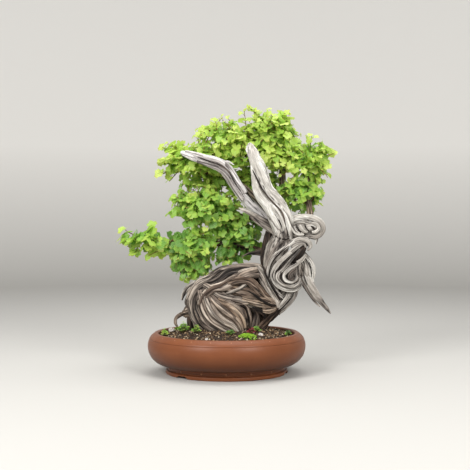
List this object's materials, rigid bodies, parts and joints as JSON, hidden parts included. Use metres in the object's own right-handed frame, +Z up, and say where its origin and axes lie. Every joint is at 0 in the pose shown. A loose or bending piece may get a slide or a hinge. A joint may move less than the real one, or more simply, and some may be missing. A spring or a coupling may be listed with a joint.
{
  "type": "bonsai tree in a pot",
  "caption": "Old bonsai with a swirling brown base, pale twisted deadwood and sprays of small lobed leaves, in a round bulging clay drum pot on a footed ring.",
  "frame": {"origin": "middle of the pot's underside, on the table", "axes": "+Z up, -Y towards the front of the tree, +X to the right as seen from the front"},
  "size_m": [0.4946, 0.3517, 0.5962],
  "materials": {
    "clay": "unglazed, semi-matt",
    "screen": "matt",
    "soil": "loose crumbs of bark, peat and grit",
    "old_wood": "weathered, deeply grained",
    "live_bark": "flaky bark",
    "leaf": "thin leaf, lets light through",
    "moss": "soft moss",
    "sprout_leaf": "thin leaf",
    "sprout_red": "thin leaf",
    "pebble": "dull stone"
  },
  "bodies": {
    "root": {"pot": "clay", "drain_screen_1": "screen", "drain_screen_2": "screen", "drain_screen_3": "screen", "soil": "soil", "trunk": "old_wood", "branch_left_low": "live_bark", "branch_left_mid": "live_bark", "branch_top": "live_bark", "branch_upper_left": "live_bark", "branch_top_right": "live_bark", "branch_right": "live_bark", "branch_back": "live_bark", "foliage_left_tip": "leaf", "foliage_left_low": "leaf", "foliage_left_inner": "leaf", "foliage_left_mid": "leaf", "foliage_upper_left": "leaf", "foliage_top_left": "leaf", "foliage_top": "leaf", "foliage_right": "leaf", "foliage_right_low": "leaf", "foliage_back": "leaf", "foliage_back_left": "leaf", "moss_front": "moss", "moss_left": "moss", "moss_back": "moss", "sprout_rim": "sprout_leaf", "sprout_left": "sprout_leaf", "sprout_middle": "sprout_leaf", "sprout_front": "sprout_leaf", "sprout_right": "sprout_leaf", "sprout_edge": "sprout_leaf", "sprout_red": "sprout_red", "pebble_white": "pebble", "pebble_grey": "pebble", "pebble_small": "pebble"}
  },
  "joints": []
}
